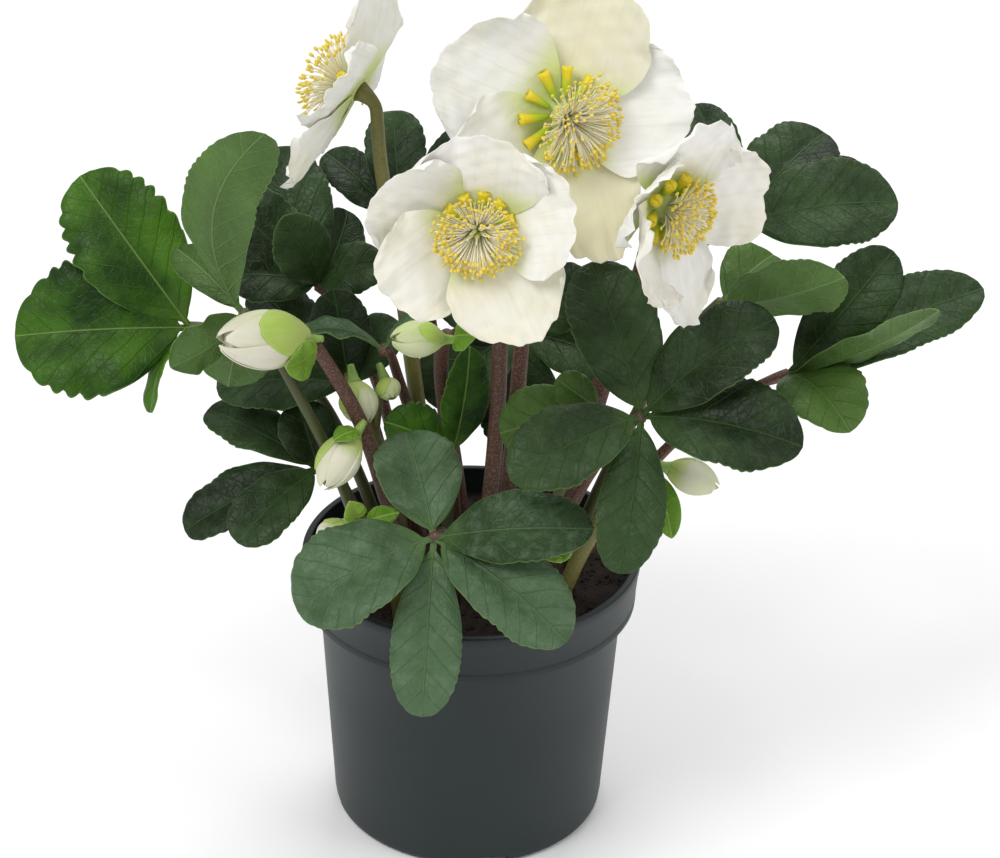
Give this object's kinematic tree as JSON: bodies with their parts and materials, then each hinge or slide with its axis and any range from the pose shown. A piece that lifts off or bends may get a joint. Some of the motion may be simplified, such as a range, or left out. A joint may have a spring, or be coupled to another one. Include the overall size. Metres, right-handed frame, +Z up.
{
  "type": "potted hellebore plant",
  "caption": "White-flowered hellebore plant with buds and toothed evergreen leaves, growing in a round grey-green plastic nursery pot.",
  "frame": {"origin": "centre of the pot's underside, on the surface it stands on", "axes": "+Z up along the pot's axis, -Y to the viewer the two large blooms face, +X to the viewer's right"},
  "size_m": [0.3583, 0.1938, 0.3433],
  "materials": {
    "pot_plastic": "satin",
    "peat": "matte",
    "leaf": "satin",
    "young_leaf": "satin",
    "stem": "matte",
    "sepal": "matte",
    "nectary": "satin",
    "stamen": "matte",
    "pistil": "satin",
    "bud": "matte"
  },
  "bodies": {
    "root": {"pot": "pot_plastic", "soil": "peat", "leaf_front_low": "leaf", "leaf_right_centre": "leaf", "leaf_far_left": "young_leaf", "leaf_left_pale": "young_leaf", "leaf_left_low": "leaf", "leaf_left_mid": "leaf", "leaf_back_left": "leaf", "leaf_back_centre": "leaf", "leaf_back_mid": "leaf", "leaf_back_right": "leaf", "leaf_right_pale": "young_leaf", "leaf_right_low": "leaf", "leaf_centre": "leaf", "leaf_centre_right": "leaf", "leaf_left_high": "leaf", "leaf_young": "young_leaf", "bloom_high_stem": "stem", "bloom_high_sepals": "sepal", "bloom_high_nectaries": "nectary", "bloom_high_stamens": "stamen", "bloom_high_pistil": "pistil", "bloom_front_stem": "stem", "bloom_front_sepals": "sepal", "bloom_front_nectaries": "nectary", "bloom_front_stamens": "stamen", "bloom_front_pistil": "pistil", "bloom_right_stem": "stem", "bloom_right_sepals": "sepal", "bloom_right_nectaries": "nectary", "bloom_right_stamens": "stamen", "bloom_right_pistil": "pistil", "bloom_left_stem": "stem", "bloom_left_sepals": "sepal", "bloom_left_nectaries": "nectary", "bloom_left_stamens": "stamen", "bloom_left_pistil": "pistil", "bud_stem_left": "stem", "bud_stem_inner": "stem", "bud_stem_middle": "stem", "bud_stem_low": "stem", "bud_stem_right": "stem", "bud_left": "bud", "bud_left_low": "bud", "bud_inner": "bud", "bud_inner_small": "bud", "bud_middle": "bud", "bud_low": "bud", "bud_right": "bud"}
  },
  "joints": []
}
